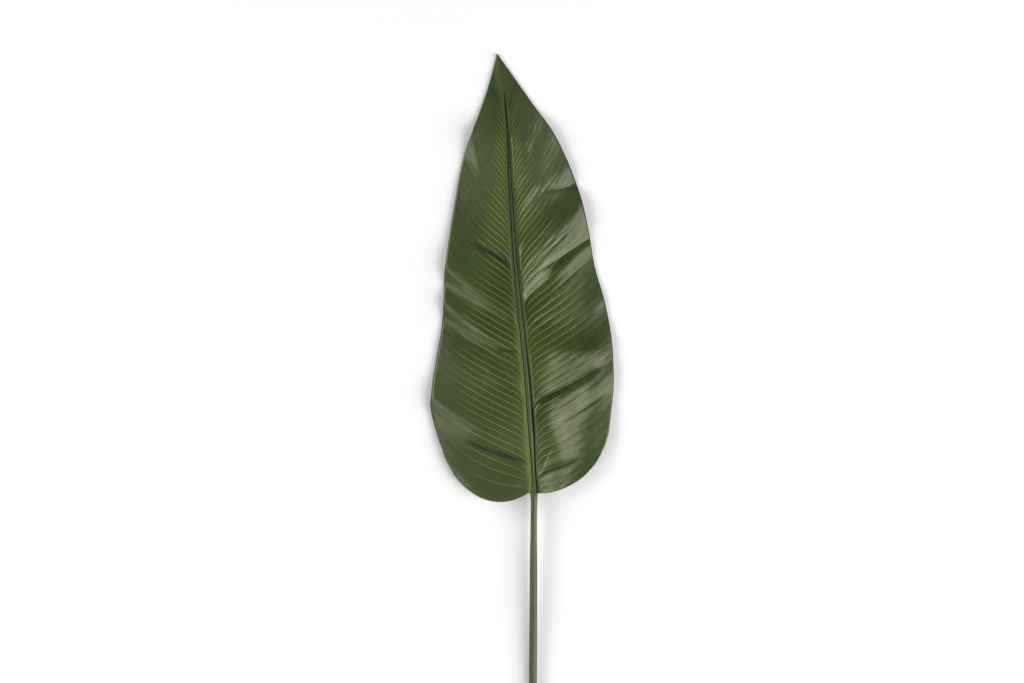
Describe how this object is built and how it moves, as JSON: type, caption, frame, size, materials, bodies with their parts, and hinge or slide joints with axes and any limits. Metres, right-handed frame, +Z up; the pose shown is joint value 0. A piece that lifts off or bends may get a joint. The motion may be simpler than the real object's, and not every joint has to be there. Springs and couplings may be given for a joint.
{
  "type": "philodendron leaf",
  "caption": "Long heart-based leaf with a waved edge, parallel side veins and a drawn-out tip, lying on its underside on a slim cut stalk.",
  "frame": {"origin": "on the surface the leaf lies on, under the middle of its box", "axes": "+Y from the cut end of the stalk to the tip of the blade, +Z up from the upper face, +X to the right seen from above"},
  "size_m": [0.1653, 0.6563, 0.0184],
  "materials": {
    "blade": "satin dark green sheet with yellow-green side veins",
    "stalk": "olive grey-green, satin, faintly fluted along its length"
  },
  "bodies": {
    "root": {"blade": "blade", "stalk": "stalk"}
  },
  "joints": []
}
